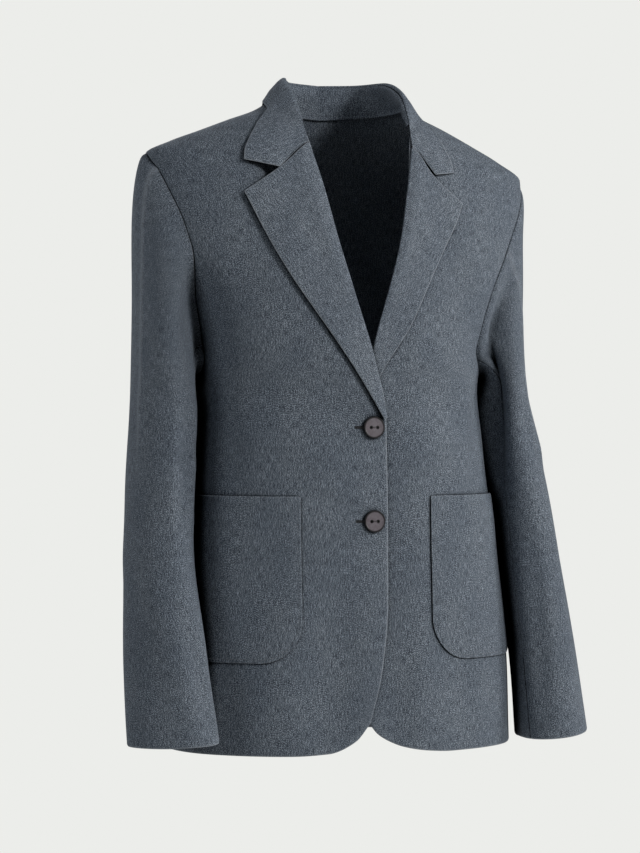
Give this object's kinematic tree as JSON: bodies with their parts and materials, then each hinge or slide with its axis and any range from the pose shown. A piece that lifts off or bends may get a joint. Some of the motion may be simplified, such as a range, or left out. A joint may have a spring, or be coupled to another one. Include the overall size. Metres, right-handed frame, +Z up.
{
  "type": "blazer",
  "caption": "Single-breasted blazer in worn shape, with notched lapels, turned-down collar, buttoned front, patch pockets and long sleeves.",
  "frame": {"origin": "on the centre line at the base of the neck, level with the neck points of the shoulder seams, where the wearer's shoulders carry the garment", "axes": "+Z up along the wearer, -Y towards the front, +X towards the wearer's left"},
  "size_m": [0.5276, 0.272, 0.7279],
  "materials": {
    "suiting": "matte blue-grey melange twill suiting",
    "suiting_facing": "matte blue-grey melange twill suiting on collar and lapels",
    "button_resin": "satin grey-brown cast resin"
  },
  "bodies": {
    "root": {"front_right": "suiting", "front_left": "suiting", "back": "suiting", "top_sleeve_right": "suiting", "top_sleeve_left": "suiting", "under_sleeve_right": "suiting", "under_sleeve_left": "suiting", "collar_stand": "suiting", "pocket_right": "suiting", "pocket_left": "suiting", "collar_fall": "suiting_facing", "lapel_right": "suiting_facing", "lapel_left": "suiting_facing", "button_upper": "button_resin", "button_lower": "button_resin"}
  },
  "joints": []
}
